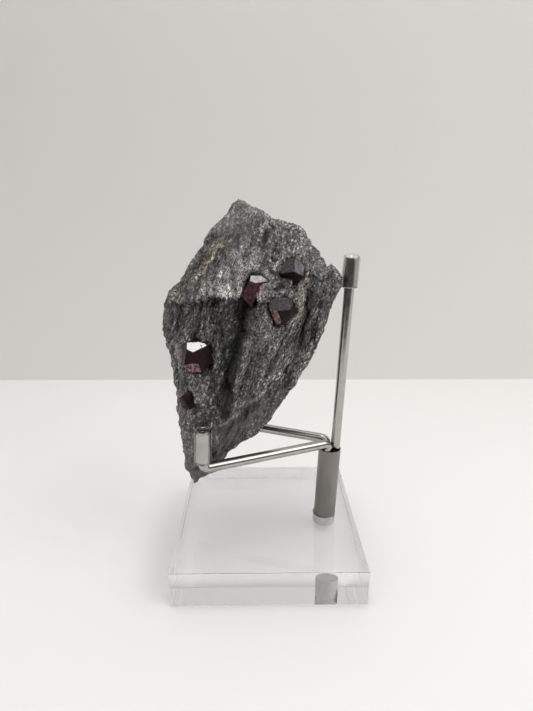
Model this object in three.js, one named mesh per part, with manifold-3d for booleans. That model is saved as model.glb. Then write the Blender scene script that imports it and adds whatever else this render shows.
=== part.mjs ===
import * as THREE from 'three';
import { mergeVertices } from 'three/addons/utils/BufferGeometryUtils.js';
import { ConvexGeometry } from 'three/addons/geometries/ConvexGeometry.js';
import Module from 'manifold-3d';

const wasm = await Module();
wasm.setup();

// Millimetres, +Z up, +Y away from the viewer, origin at the centre of the base underside.
const fitGap = 0.3;

const baseSide = 50;
const baseHeight = 10;
const baseBevel = 0.3;
const socketDepth = 5.8;

const postFoot = new THREE.Vector3(16.65, 0, baseHeight - socketDepth + fitGap);
const postLean = 1.8;
const postRadius = 3.1;
const postBoreRadius = 2.92;
const postHeight = 26.7;
const postPlug = 14;

const wireRadius = 1.3;
const wireCircle = 1.53;
const wireFoot = postPlug + fitGap;
const bendRadius = 1.5;
const bendSteps = 4;
const armBendStart = postHeight + 0.45;
const frontArmReach = 36.4;
const frontArmTurn = -156.2;
const backArmReach = 35.6;
const backArmTurn = 162;
const armUpright = 7.3;
const rodTop = 78.6;

const tipRadius = 2.17;
const tipBore = wireRadius + fitGap;
const tipWall = 1.4;
const rodTipLength = 8.4;
const armTipLength = 9.4;

const stoneCentre = new THREE.Vector3(-5, -0.5, 62);
const stoneBlunt = 5.2;
const stoneGrid = [24, 12, 32];
const facetSoftness = 0.4;

// Outline of the stone from the front, x and z, from the right corner over the top and round.
const stoneOutline = [
  [18.2, 80], [15.7, 82.5], [14.8, 81.6], [12, 85.7], [10.4, 87.2], [8.6, 91], [6.8, 92.1], [4.5, 92.4],
  [0.7, 93.2], [-1.4, 95], [-5.4, 97.2], [-7, 98.1], [-8.7, 97], [-10, 94.7], [-13.7, 91.2],
  [-16, 87.8], [-18.6, 83.8], [-21.6, 78.8], [-25, 75.8], [-26.3, 74], [-27.1, 70.5], [-26.8, 67.5],
  [-25.1, 60], [-24.2, 50], [-23.7, 41], [-23.3, 32.5], [-22.3, 25.8], [-20.9, 21.4], [-17.7, 24.2],
  [-15.2, 26.2], [-12.6, 30.4], [-10.6, 33.6], [-6.8, 35.7], [-2.4, 38.4], [0.1, 41], [1.8, 44.3],
  [4.5, 48.1], [7.8, 52.6], [12.3, 60.4], [13.1, 63.4], [14, 67], [16, 73.8], [18.3, 78.5],
];

// Broken faces of the stone: thickness from its middle plane is edge + rise x distance inside the line
// through at with the outward direction out, and the thinnest face wins.
const frontFacets = [
  { at: [-5, 97], out: [0, 1], edge: 4.5, rise: 0.45 },
  { at: [-5, 76], out: [0, 1], edge: 14.1, rise: -0.012 },
  { at: [-27, 68], out: [-1, 0], edge: 6, rise: 0.82 },
  { at: [-20, 22], out: [0, -1], edge: 5, rise: 0.7 },
  { at: [18.4, 78.5], out: [0.93, -0.37], edge: 5, rise: 0.62 },
  { at: [18.3, 80], out: [0.75, 0.66], edge: 4.5, rise: 0.62 },
  { at: [7.8, 52.6], out: [0.74, -0.67], edge: 9.5, rise: 0.85 },
];
const backFacets = [
  { at: [-5, 97], out: [0, 1], edge: 4, rise: 0.55 },
  { at: [-5, 90], out: [0, 1], edge: 11.6, rise: -0.012 },
  { at: [-27, 68], out: [-1, 0], edge: 6, rise: 0.7 },
  { at: [-20, 22], out: [0, -1], edge: 5, rise: 0.6 },
  { at: [18.4, 78.5], out: [0.93, -0.37], edge: 4.5, rise: 0.5 },
  { at: [18.3, 80], out: [0.75, 0.66], edge: 4.5, rise: 0.5 },
  { at: [7.8, 52.6], out: [0.74, -0.67], edge: 8, rise: 0.6 },
];

// Grooves (cut, negative) and ridges (proud, positive) of the two faces, paths in x and z. A step has a
// sharp edge along its path and works only on the right hand of it.
const frontStrokes = [
  { path: [[-23.5, 74], [-14.2, 76.4], [-10.3, 76.7], [-5, 76.2]], width: 6, height: -2.6, step: true },
  { path: [[-13.5, 77.6], [-6, 77.4]], width: 1.8, height: 0.6 },
  { path: [[-4.6, 74.5], [-6.8, 68.5], [-8.5, 62.6], [-12, 50]], width: 3.4, height: -2.6, step: true },
  { path: [[-2.8, 75], [-4.5, 69], [-6.4, 62.6], [-9.6, 53]], width: 2.2, height: 1 },
  { path: [[10, 77], [8.8, 69.7], [7.6, 64]], width: 3, height: -1.6, step: true },
  { path: [[14.2, 79], [12.8, 72], [10.6, 64]], width: 2.6, height: -1.2, step: true },
  { path: [[0.7, 93.4], [-0.7, 89.5], [-1.9, 86.3]], width: 3, height: -1.4, step: true },
  { path: [[-16.1, 43.6], [-12.4, 43.6]], width: 2.2, height: -1.2 },
  { path: [[-10.4, 88.3], [-15.1, 83.4], [-19.6, 78.8]], width: 3, height: -1.2, step: true },
  { path: [[1.5, 79], [8, 80.2]], width: 2.6, height: -1.1, step: true },
  { path: [[4.5, 68], [0.5, 58], [-3, 51]], width: 4, height: -1.1, step: true },
];
const backStrokes = [
  { path: [[-15, 86], [-18, 70], [-20, 50]], width: 5, height: -1.8, step: true },
  { path: [[0, 91], [-5, 74], [-10, 56], [-14, 40]], width: 4, height: -1.9, step: true },
  { path: [[11, 80], [7, 66], [2, 54]], width: 5, height: -1.6, step: true },
  { path: [[-9, 82], [3, 80]], width: 4, height: -1.2, step: true },
];

// Layering of the schist: rounded leaves with sharp seams between them, across a direction that leans
// from the vertical.
const layerLean = THREE.MathUtils.degToRad(19);
const layerWaves = [
  { length: 8.6, height: 0.55, sway: 1.2, swayLength: 33, phase: 0.4 },
  { length: 4.9, height: 0.35, sway: 1.1, swayLength: 19, phase: 2.1 },
];

const garnets = [
  { name: 'garnet_upper_right', at: [5.3, 82.3], width: 4.8, proud: 0.1, turn: [-16, 12, 24] },
  { name: 'garnet_upper_middle', at: [-3.5, 78.4], width: 6.3, proud: 0.06, turn: [22, -18, 10] },
  { name: 'garnet_middle', at: [2.3, 73.6], width: 6.2, proud: 0.12, turn: [-8, 14, -12] },
  { name: 'garnet_left', at: [-17.3, 62.4], width: 6.8, proud: 0.14, turn: [-9, -10, 8] },
  { name: 'garnet_lower_left', at: [-20, 50.7], width: 3.8, proud: 0.06, turn: [30, 15, -25] },
];
const garnetBevel = 1.56;

const acrylic = { color: 0xe9ecec, roughness: 0.05, metalness: 0 };
const vinyl = { color: 0xdfe2e0, roughness: 0.15, metalness: 0 };
const steel = { color: 0x8f8c88, roughness: 0.3, metalness: 1 };
const schist = { color: 0x4b4a4b, roughness: 0.75, metalness: 0 };
const garnetRed = { color: 0x2c1014, roughness: 0.2, metalness: 0 };

// A closed body from any geometry, and back again.
function toSolid(geometry) {
  const bare = geometry.clone();
  bare.deleteAttribute('normal');
  bare.deleteAttribute('uv');
  const merged = mergeVertices(bare, 1e-4);
  return new wasm.Manifold(new wasm.Mesh({
    numProp: 3,
    vertProperties: new Float32Array(merged.attributes.position.array),
    triVerts: new Uint32Array(merged.index.array),
  }));
}

function toGeometry(solid) {
  const mesh = solid.getMesh();
  const geometry = new THREE.BufferGeometry();
  geometry.setAttribute('position', new THREE.BufferAttribute(mesh.vertProperties, 3));
  geometry.setIndex(new THREE.BufferAttribute(mesh.triVerts, 1));
  geometry.computeVertexNormals();
  return geometry;
}

function piece(name, geometry, look) {
  const mesh = new THREE.Mesh(geometry, new THREE.MeshStandardMaterial(look));
  mesh.name = name;
  return mesh;
}

// A turned body: radius and height pairs, spun about +Z.
function turned(profile, sides) {
  const points = profile.map(([radius, height]) => new THREE.Vector2(radius, height));
  return new THREE.LatheGeometry(points, sides).rotateX(Math.PI / 2);
}

// A path through listed points, with one ring of the wire at each of them.
class WirePath extends THREE.Curve {
  constructor(points) {
    super();
    this.points = points;
  }

  getPoint(t, target = new THREE.Vector3()) {
    const last = this.points.length - 1;
    const place = Math.min(Math.max(t, 0), 1) * last;
    const i = Math.min(Math.floor(place), last - 1);
    return target.lerpVectors(this.points[i], this.points[i + 1], place - i);
  }

  getUtoTmapping(u) {
    return u;
  }
}

function wire(points) {
  const round = new THREE.Shape();
  round.absarc(0, 0, wireRadius, 0, 2 * Math.PI);
  return new THREE.ExtrudeGeometry(round, {
    steps: points.length - 1,
    curveSegments: 6,
    bevelEnabled: false,
    extrudePath: new WirePath(points),
  });
}

// Points of a quarter bend from the direction before to the direction after.
function bend(start, before, after) {
  const points = [];
  for (let i = 0; i <= bendSteps; i += 1) {
    const angle = (Math.PI / 2) * (i / bendSteps);
    points.push(start.clone()
      .addScaledVector(before, bendRadius * Math.sin(angle))
      .addScaledVector(after, bendRadius * (1 - Math.cos(angle))));
  }
  return points;
}

// One arm in the frame of the post: a leg in the tube, a level reach and an upright end.
function armPoints(seat, turn, reach) {
  const up = new THREE.Vector3(0, 0, 1);
  const along = new THREE.Vector3(Math.cos(turn), Math.sin(turn), 0);
  const leg = new THREE.Vector3(Math.cos(seat) * wireCircle, Math.sin(seat) * wireCircle, wireFoot);
  const legTop = leg.clone().setZ(armBendStart);
  const elbow = legTop.clone().addScaledVector(up, bendRadius).addScaledVector(along, reach - bendRadius);
  const upright = elbow.clone().addScaledVector(along, bendRadius).addScaledVector(up, bendRadius + armUpright);
  return [leg, ...bend(legTop, up, along), ...bend(elbow, along, up), upright];
}

// A soft cap: bored from below, with a domed top.
function tipGeometry(length) {
  return turned([
    [0, length - tipWall],
    [tipBore, length - tipWall - 0.5],
    [tipBore, 0],
    [tipRadius, 0],
    [tipRadius, length - 1.3],
    [tipRadius - 0.35, length - 0.55],
    [tipRadius - 1, length - 0.1],
    [0, length],
  ], 16);
}

function radiusAlong(angle) {
  const dx = Math.cos(angle);
  const dz = Math.sin(angle);
  let radius = 0;
  for (let i = 0; i < stoneOutline.length; i += 1) {
    const ax = stoneOutline[i][0] - stoneCentre.x;
    const az = stoneOutline[i][1] - stoneCentre.z;
    const next = stoneOutline[(i + 1) % stoneOutline.length];
    const ex = next[0] - stoneCentre.x - ax;
    const ez = next[1] - stoneCentre.z - az;
    const cross = dx * ez - dz * ex;
    const along = (ax * dz - az * dx) / cross;
    const reach = (ax * ez - az * ex) / cross;
    if (reach > 0 && along > -1e-9 && along < 1 + 1e-9) {
      radius = Math.max(radius, reach);
    }
  }
  return radius;
}

// Depth of a groove or height of a ridge at x, z.
function strokeAt(x, z, { path, width, height, step }) {
  let nearest = Infinity;
  let rightHand = false;
  for (let i = 0; i + 1 < path.length; i += 1) {
    const [ax, az] = path[i];
    const ex = path[i + 1][0] - ax;
    const ez = path[i + 1][1] - az;
    const t = Math.min(Math.max(((x - ax) * ex + (z - az) * ez) / (ex * ex + ez * ez), 0), 1);
    const distance = Math.hypot(x - ax - t * ex, z - az - t * ez);
    if (distance < nearest) {
      nearest = distance;
      rightHand = ex * (z - az) - ez * (x - ax) < 0;
    }
  }
  return step && !rightHand ? 0 : height * Math.exp(-((nearest / width) ** 2));
}

// Thickness of the stone from its middle plane at x, z.
function thickness(x, z, facets, strokes, side) {
  let sum = 0;
  for (const { at, out, edge, rise } of facets) {
    const inside = (at[0] - x) * out[0] + (at[1] - z) * out[1];
    sum += Math.exp(-(edge + rise * inside) / facetSoftness);
  }
  let height = -facetSoftness * Math.log(sum);
  for (const stroke of strokes) {
    height += strokeAt(x, z, stroke);
  }
  const across = x * Math.cos(layerLean) - z * Math.sin(layerLean);
  const along = x * Math.sin(layerLean) + z * Math.cos(layerLean);
  for (const wave of layerWaves) {
    const sway = wave.sway * Math.sin((2 * Math.PI * along) / wave.swayLength + wave.phase);
    const leaf = Math.abs(Math.sin((Math.PI * across) / wave.length + sway + wave.phase + side));
    height += wave.height * (2 * leaf - 1.3);
  }
  return height;
}

function frontAt(x, z) {
  return stoneCentre.y - thickness(x, z, frontFacets, frontStrokes, 0);
}

// The stone as one surface over all directions: a blunt disc with the outline above, whose two faces
// have the thickness above.
function stoneGeometry() {
  const [nx, ny, nz] = stoneGrid;
  const geometry = new THREE.BoxGeometry(2, 2, 2, nx, ny, nz);
  const position = geometry.attributes.position;
  const d = new THREE.Vector3();
  const depthAxis = new THREE.Vector3(0, 1, 0);
  for (let i = 0; i < position.count; i += 1) {
    d.fromBufferAttribute(position, i).normalize().applyAxisAngle(depthAxis, layerLean);
    const flat = Math.hypot(d.x, d.z);
    const deep = Math.abs(d.y);
    const level = (flat ** stoneBlunt + deep ** stoneBlunt) ** (1 / stoneBlunt);
    const angle = Math.atan2(d.z, d.x);
    const radius = (radiusAlong(angle) * flat) / level;
    const x = stoneCentre.x + radius * Math.cos(angle);
    const z = stoneCentre.z + radius * Math.sin(angle);
    const side = d.y < 0
      ? -thickness(x, z, frontFacets, frontStrokes, 0)
      : thickness(x, z, backFacets, backStrokes, 1.7);
    position.setXYZ(i, x, stoneCentre.y + (side * deep) / level, z);
  }
  return geometry;
}

function signs(count) {
  const all = [];
  for (let i = 0; i < 2 ** count; i += 1) {
    all.push(Array.from({ length: count }, (_, k) => ((i >> k) & 1 ? 1 : -1)));
  }
  return all;
}

// Garnet habit: a rhombic dodecahedron, its edges bevelled by a trapezohedron, of the given width
// between opposite rhombic faces.
function garnetSolid(width) {
  const half = garnetBevel * Math.sqrt(6);
  const rhombic = [];
  const kites = [];
  for (const [p, q, r] of signs(3)) {
    rhombic.push(new THREE.Vector3(p, q, r));
    kites.push(new THREE.Vector3(p, q, r).multiplyScalar(half / 4));
  }
  for (const [p, q] of signs(2)) {
    kites.push(new THREE.Vector3(p, q, 0).multiplyScalar(half / 3));
    kites.push(new THREE.Vector3(p, 0, q).multiplyScalar(half / 3));
    kites.push(new THREE.Vector3(0, p, q).multiplyScalar(half / 3));
  }
  for (const axis of [new THREE.Vector3(1, 0, 0), new THREE.Vector3(0, 1, 0), new THREE.Vector3(0, 0, 1)]) {
    for (const [p] of signs(1)) {
      rhombic.push(axis.clone().multiplyScalar(2 * p));
      kites.push(axis.clone().multiplyScalar((half / 2) * p));
    }
  }
  const size = width / (2 * Math.SQRT2);
  const body = new ConvexGeometry(rhombic).scale(size, size, size);
  const bevel = new ConvexGeometry(kites).scale(size, size, size);
  return toSolid(body).intersect(toSolid(bevel));
}

const root = new THREE.Group();

// Clear block with a blind hole for the post.
const square = new THREE.Shape();
const inner = baseSide / 2 - baseBevel;
square.moveTo(-inner, -inner);
square.lineTo(inner, -inner);
square.lineTo(inner, inner);
square.lineTo(-inner, inner);
const block = new THREE.ExtrudeGeometry(square, {
  depth: baseHeight - 2 * baseBevel,
  bevelSize: baseBevel,
  bevelThickness: baseBevel,
  bevelSegments: 1,
}).translate(0, 0, baseBevel);
const socketRadius = postRadius + fitGap;
const socket = turned([
  [0, baseHeight - socketDepth],
  [socketRadius, baseHeight - socketDepth],
  [socketRadius, baseHeight + 1],
  [0, baseHeight + 1],
], 24).translate(postFoot.x, postFoot.y, 0);
root.add(piece('base', toGeometry(toSolid(block).subtract(toSolid(socket))), acrylic));

// The post and its three wires lean together.
const holder = new THREE.Group();
holder.position.copy(postFoot);
holder.rotation.y = THREE.MathUtils.degToRad(postLean);
root.add(holder);

holder.add(piece('post', turned([
  [0, 0],
  [postRadius - 0.2, 0],
  [postRadius, 0.2],
  [postRadius, postHeight],
  [postBoreRadius, postHeight],
  [postBoreRadius, postPlug],
  [0, postPlug],
], 24), steel));

const rodFoot = new THREE.Vector3(wireCircle, 0, wireFoot);
holder.add(piece('rod', wire([rodFoot, rodFoot.clone().setZ(rodTop)]), steel));
const rodTip = piece('rod_tip', tipGeometry(rodTipLength), vinyl);
rodTip.position.set(wireCircle, 0, rodTop - rodTipLength + tipWall + 0.5 + fitGap);
holder.add(rodTip);

const arms = [
  { name: 'front_arm', seat: -120, turn: frontArmTurn, reach: frontArmReach },
  { name: 'back_arm', seat: 120, turn: backArmTurn, reach: backArmReach },
];
for (const { name, seat, turn, reach } of arms) {
  const points = armPoints(THREE.MathUtils.degToRad(seat), THREE.MathUtils.degToRad(turn), reach);
  const end = points[points.length - 1];
  holder.add(piece(name, wire(points), steel));
  const tip = piece(`${name}_tip`, tipGeometry(armTipLength), vinyl);
  tip.position.set(end.x, end.y, end.z - armTipLength + tipWall + 0.5 + fitGap);
  holder.add(tip);
}

// The schist, with a socket behind each crystal.
let matrix = toSolid(stoneGeometry());
for (const { name, at, width, proud, turn } of garnets) {
  const [rx, ry, rz] = turn.map((angle) => THREE.MathUtils.degToRad(angle));
  const place = new THREE.Matrix4().makeRotationFromEuler(new THREE.Euler(rx, ry, rz));
  place.setPosition(at[0], frontAt(...at) - (proud - 0.1) * width, at[1]);
  const crystal = toGeometry(garnetSolid(width)).applyMatrix4(place);
  const hollow = toGeometry(garnetSolid(width + 2 * fitGap)).applyMatrix4(place);
  matrix = matrix.subtract(toSolid(hollow));
  root.add(piece(name, crystal, garnetRed));
}
root.add(piece('matrix', toGeometry(matrix), schist));

export default root;
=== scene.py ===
import math
import bpy
import numpy as np
from mathutils import Matrix, Vector


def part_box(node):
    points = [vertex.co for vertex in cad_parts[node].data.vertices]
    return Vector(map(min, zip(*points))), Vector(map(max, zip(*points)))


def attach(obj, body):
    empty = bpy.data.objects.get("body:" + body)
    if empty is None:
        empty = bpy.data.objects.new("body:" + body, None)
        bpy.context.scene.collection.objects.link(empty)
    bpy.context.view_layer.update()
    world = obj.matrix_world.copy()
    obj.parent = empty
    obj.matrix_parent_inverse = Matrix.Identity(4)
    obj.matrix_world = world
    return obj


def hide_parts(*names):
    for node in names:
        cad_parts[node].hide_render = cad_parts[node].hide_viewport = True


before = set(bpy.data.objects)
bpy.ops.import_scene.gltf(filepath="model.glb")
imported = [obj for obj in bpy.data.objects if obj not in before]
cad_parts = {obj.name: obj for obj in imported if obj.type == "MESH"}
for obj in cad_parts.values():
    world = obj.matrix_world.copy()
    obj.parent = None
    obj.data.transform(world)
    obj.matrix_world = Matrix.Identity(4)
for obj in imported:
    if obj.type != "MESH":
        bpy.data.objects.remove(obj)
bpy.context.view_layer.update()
mm = 0.001
print("frame loaded:", len(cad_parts), "solids")

# camera

shot = {
    "lens": 24.876,  # on the 36 mm long side
    "place": (-2.787, -123.97, 98.887),
    "pitch": 18.02,  # down
    "yaw": 1.0425,  # towards +x
    "roll": -0.249,
}


def makeCamera(s):
    # line of sight from yaw and pitch, then rolled about itself
    pitch, yaw, roll = (math.radians(s[k]) for k in ("pitch", "yaw", "roll"))
    ahead = np.array([math.sin(yaw) * math.cos(pitch), math.cos(yaw) * math.cos(pitch), -math.sin(pitch)])
    level = np.array([math.cos(yaw), -math.sin(yaw), 0.0])
    down = np.cross(ahead, level)
    right = math.cos(roll) * level + math.sin(roll) * down
    below = -math.sin(roll) * level + math.cos(roll) * down
    data = bpy.data.cameras.new("shotCamera")
    data.lens = s["lens"]
    data.sensor_width = 36
    data.clip_start = 0.005
    data.clip_end = 20
    camera = bpy.data.objects.new("shotCamera", data)
    place = Matrix(np.column_stack([right, -below, -ahead]).tolist()).to_4x4()
    place.translation = [v * mm for v in s["place"]]
    camera.matrix_world = place
    bpy.context.collection.objects.link(camera)
    bpy.context.scene.camera = camera


makeCamera(shot)

# mesh tools


def makePiece(name, points, faces, sharpAngle=35):
    # points in millimetres; the faces are turned if the closed volume comes out negative; angle 0 is all flat
    corners = points[faces[:, :3]]
    volume = np.einsum("ij,ij->i", corners[:, 0], np.cross(corners[:, 1], corners[:, 2])).sum()
    if faces.shape[1] == 4:
        rest = points[faces[:, [0, 2, 3]]]
        volume += np.einsum("ij,ij->i", rest[:, 0], np.cross(rest[:, 1], rest[:, 2])).sum()
    if volume < 0:
        faces = faces[:, [1, 0, 3, 2]]
    listed = [row[:3] if len(row) == 4 and row[3] == row[2] else row for row in faces.tolist()]
    mesh = bpy.data.meshes.new(name)
    mesh.from_pydata((points * mm).tolist(), [], listed)
    if sharpAngle:
        mesh.shade_smooth()
        mesh.set_sharp_from_angle(angle=math.radians(sharpAngle))
    mesh.update()
    piece = bpy.data.objects.new(name, mesh)
    bpy.context.collection.objects.link(piece)
    return piece


def skinned(rings, first, last):
    # one closed skin: a point, rings of equal count one after another, and a point
    count, sides = rings.shape[:2]
    points = np.vstack([rings.reshape(-1, 3), first, last])
    row, col = np.meshgrid(np.arange(count - 1), np.arange(sides), indexing="ij")
    a = row * sides + col
    b = row * sides + (col + 1) % sides
    quads = np.stack([a, b, b + sides, a + sides], -1).reshape(-1, 4)
    k = np.arange(sides)
    n = (k + 1) % sides
    start = np.full(sides, count * sides)
    top = (count - 1) * sides
    fanA = np.stack([n, k, start, start], -1)
    fanB = np.stack([top + k, top + n, start + 1, start + 1], -1)
    return points, np.vstack([quads, fanA, fanB])


def spun(profile, sides=96):
    # radius and height pairs turned about z; the first and last pair lie on the axis
    profile = np.array(profile, float)
    angle = np.linspace(0, 2 * np.pi, sides, endpoint=False)
    radius, height = profile[1:-1, 0, None], profile[1:-1, 1, None]
    flat = np.zeros_like(angle)
    rings = np.stack([radius * np.cos(angle), radius * np.sin(angle), height + flat], -1)
    return skinned(rings, [0, 0, profile[0, 1]], [0, 0, profile[-1, 1]])


def arc(centre, radius, start, end, steps):
    # points on a circle arc, angles in degrees
    angle = np.radians(np.linspace(start, end, steps + 1))
    return [(centre[0] + radius * math.cos(a), centre[1] + radius * math.sin(a)) for a in angle]


def sweptWire(path, radius, across, sides=40, edge=0.25, edgeSteps=5):
    # a circle carried along a path in one plane whose normal is across; the ends have a small bevelled edge
    path = np.array(path, float)
    step = np.diff(path, axis=0)
    step /= np.linalg.norm(step, axis=1)[:, None]
    tangent = np.vstack([step[:1], step[:-1] + step[1:], step[-1:]])
    tangent /= np.linalg.norm(tangent, axis=1)[:, None]
    turn = np.linspace(0, np.pi / 2, edgeSteps + 1)[1:]
    back = edge * (1 - np.sin(turn))
    shrink = radius - back
    head = path[0] + back[:, None] * tangent[0]
    tail = path[-1] - back[::-1, None] * tangent[-1]
    place = np.vstack([head, path[1:-1], tail])
    size = np.concatenate([shrink, np.full(len(path) - 2, radius), shrink[::-1]])
    first, last = (np.repeat(end, edgeSteps, 0) for end in (tangent[:1], tangent[-1:]))
    along = np.vstack([first, tangent[1:-1], last])
    side = np.broadcast_to(np.asarray(across, float), along.shape)
    other = np.cross(along, side)
    angle = np.linspace(0, 2 * np.pi, sides, endpoint=False)
    circle = np.cos(angle)[None, :, None] * side[:, None] + np.sin(angle)[None, :, None] * other[:, None]
    rings = place[:, None] + size[:, None, None] * circle
    return skinned(rings, path[0], path[-1])


def boxGrid(nx, ny, nz):
    # the lattice points on the skin of a box, with the quads of its six sides
    sides = []
    for axis, (p, q) in ((0, (1, 2)), (1, (2, 0)), (2, (0, 1))):
        counts = (nx, ny, nz)
        i, j = np.meshgrid(np.arange(counts[p]), np.arange(counts[q]), indexing="ij")
        for level in (0, counts[axis]):
            corner = []
            for di, dj in ((0, 0), (1, 0), (1, 1), (0, 1)):
                point = np.empty((i.size, 3), int)
                point[:, axis] = level
                point[:, p] = (i + di).ravel()
                point[:, q] = (j + dj).ravel()
                corner.append(point)
            if level == 0:
                corner.reverse()
            sides.append(np.stack(corner, 1))
    quads = np.concatenate(sides)
    keys = (quads[..., 0] * (ny + 1) + quads[..., 1]) * (nz + 1) + quads[..., 2]
    unique, index = np.unique(keys, return_inverse=True)
    lattice = np.stack([unique // ((ny + 1) * (nz + 1)), unique // (nz + 1) % (ny + 1), unique % (nz + 1)], -1)
    box = lattice / np.array([nx, ny, nz]) * 2 - 1
    return box / np.linalg.norm(box, axis=1)[:, None], index.reshape(-1, 4)


def latticeNoise(points, seed):
    # random values at whole-number corners, blended with a smooth fifth-power curve, from -1 to 1
    cell = np.floor(points).astype(np.int64)
    part = points - cell
    blend = part ** 3 * (part * (part * 6 - 15) + 10)
    total = np.zeros(len(points))
    for corner in range(8):
        offset = np.array([corner & 1, corner >> 1 & 1, corner >> 2 & 1])
        at = cell + offset
        mix = at[:, 0] * 73856093 ^ at[:, 1] * 19349663 ^ at[:, 2] * 83492791 ^ seed * 2654435761
        mix = (mix ^ mix >> 13) * 1274126177 & 0xFFFFFFFF
        mix = (mix ^ mix >> 16) * 2246822519 & 0xFFFFFFFF
        value = (mix ^ mix >> 15 & 0xFFFFFFFF) / 0x7FFFFFFF - 1
        total += value * np.prod(np.where(offset, blend, 1 - blend), axis=1)
    return total


def layeredNoise(points, seed, octaves=4, gain=0.5):
    # noise added to itself at doubled frequencies and falling strength
    total = np.zeros(len(points))
    strength = 1.0
    for k in range(octaves):
        total += strength * latticeNoise(points * 2 ** k + 17.3 * k, seed + k)
        strength *= gain
    return total


def smoothStep(low, high, value):
    # zero at low, one at high, level at both ends
    t = np.clip((value - low) / (high - low), 0, 1)
    return t * t * (3 - 2 * t)


def paint(piece, name, values):
    # one number per point, for the finish to read
    layer = piece.data.attributes.new(name, "FLOAT", "POINT")
    layer.data.foreach_set("value", np.asarray(values, np.float32))


# finish tools


def newFinish(name):
    finish = bpy.data.materials.new(name)
    finish.use_nodes = True
    return finish, finish.node_tree, finish.node_tree.nodes["Principled BSDF"]


def addNode(tree, kind, inputs=None, **settings):
    # a node whose inputs are linked to sockets or set to values
    node = tree.nodes.new(kind)
    for key, value in settings.items():
        setattr(node, key, value)
    for key, value in (inputs or {}).items():
        if isinstance(value, bpy.types.NodeSocket):
            tree.links.new(value, node.inputs[key])
        else:
            node.inputs[key].default_value = value
    return node


def ramp(tree, factor, stops):
    # straight runs between stops, each a place from 0 to 1 and a grey or a colour
    node = addNode(tree, "ShaderNodeValToRGB", {"Fac": factor})
    while len(node.color_ramp.elements) < len(stops):
        node.color_ramp.elements.new(0.5)
    for element, (place, tone) in zip(node.color_ramp.elements, stops):
        element.position = place
        element.color = (tone, tone, tone, 1) if isinstance(tone, float) else (*tone, 1)
    return node.outputs["Color"]


def sums(tree, operation, a, b):
    # two numbers joined by a named operation
    return addNode(tree, "ShaderNodeMath", {0: a, 1: b}, operation=operation).outputs[0]


def mixed(tree, factor, a, b, blend="MIX"):
    # two colours blended by a factor
    node = addNode(tree, "ShaderNodeMix", {0: factor, 6: a, 7: b}, data_type="RGBA", blend_type=blend)
    return node.outputs[2]


def objectPlace(tree, scale=(1, 1, 1), turn=(0, 0, 0)):
    # object coordinates in millimetres, turned and then stretched
    coordinates = addNode(tree, "ShaderNodeTexCoord").outputs["Object"]
    turned = addNode(tree, "ShaderNodeMapping", {"Vector": coordinates, "Rotation": turn, "Scale": (1000,) * 3})
    return addNode(tree, "ShaderNodeMapping", {"Vector": turned.outputs[0], "Scale": scale}).outputs[0]


def noiseAt(tree, place, scale, detail=3.0, rough=0.5):
    return addNode(tree, "ShaderNodeTexNoise",
                   {"Vector": place, "Scale": scale, "Detail": detail, "Roughness": rough}).outputs["Fac"]


def bumped(tree, height, strength, distance, normal=None):
    # a normal tilted by a height, on top of another if given
    inputs = {"Height": height, "Strength": strength, "Distance": distance}
    if normal is not None:
        inputs["Normal"] = normal
    return addNode(tree, "ShaderNodeBump", inputs).outputs[0]


# clear block

block = {
    "side": 50.0,
    "height": 10.0,
    "bevel": 0.05,
    "socketDepth": 5.8,
    "socketRadius": 3.2,
    "socketLip": 0.12,
    "perSide": 48,
    "clear": {"tone": (0.985, 0.985, 0.992), "ior": 1.49, "low": 0.0, "high": 0.04},
    "frosted": {"tone": (0.97, 0.97, 0.975), "ior": 1.49, "low": 0.5, "high": 0.75, "clear": 0.2},
}


def blockShape(b, post):
    # rings of one angle set: socket floor, socket wall, lip, then the square's edge rings, and its underside
    half = b["side"] / 2
    run = np.linspace(-half, half, b["perSide"], endpoint=False)
    full = np.full_like(run, half)
    square = np.concatenate([np.stack(p, -1) for p in ((run, -full), (full, run), (-run, full), (-full, -run))])
    ray = square - post
    ray /= np.linalg.norm(ray, axis=1)[:, None]
    inset = square * (half - b["bevel"]) / half
    r, h, lip, bevel = b["socketRadius"], b["height"], b["socketLip"], b["bevel"]
    rows = [
        (post + ray * r, h - b["socketDepth"]),
        (post + ray * r, h - lip),
        (post + ray * (r + lip), h),
        (inset, h),
        (square, h - bevel),
        (square, bevel),
        (inset, 0),
    ]
    rings = np.array([np.column_stack([flat, np.full(len(flat), level)]) for flat, level in rows])
    points, faces = skinned(rings, [*post, h - b["socketDepth"]], [0, 0, 0])
    count = len(square)
    frosted = np.repeat([1, 1, 0, 0, 0, 0, 1, 0], count)  # socket wall, lip and the socket floor
    return points, faces, frosted


# stand

stand = {
    # low and high are the roughness; along squeezes the drawn lines on each axis
    "postSteel": {"tone": (0.29, 0.272, 0.255), "low": 0.3, "high": 0.45, "along": (1.2, 1.2, 0.05)},
    "wireSteel": {"tone": (0.49, 0.472, 0.45), "low": 0.12, "high": 0.22, "along": (0.5, 0.5, 0.5)},
    "foot": (16.65, 0.0, 4.5),
    "lean": 1.8,
    "postRadius": 3.1,
    "postBore": 2.9,
    "postHeight": 26.7,
    "postPlug": 14.0,
    "wireRadius": 1.3,
    "wireCircle": 1.53,
    "legFoot": 14.3,
    "bendStart": 27.0,
    "bendRadius": 1.65,
    "rodTop": 79.8,
    "upright": 8.5,
    "arms": {
        "front": {"seat": -120.0, "turn": -156.2, "reach": 36.4},
        "back": {"seat": 120.0, "turn": 162.0, "reach": 35.6},
    },
}


def leaned(points, s):
    # turned about y at the foot by the lean of the post
    a = math.radians(s["lean"])
    x, y, z = np.asarray(points, float).T
    return np.stack([x * math.cos(a) + z * math.sin(a), y, z * math.cos(a) - x * math.sin(a)], -1) + s["foot"]


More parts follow.
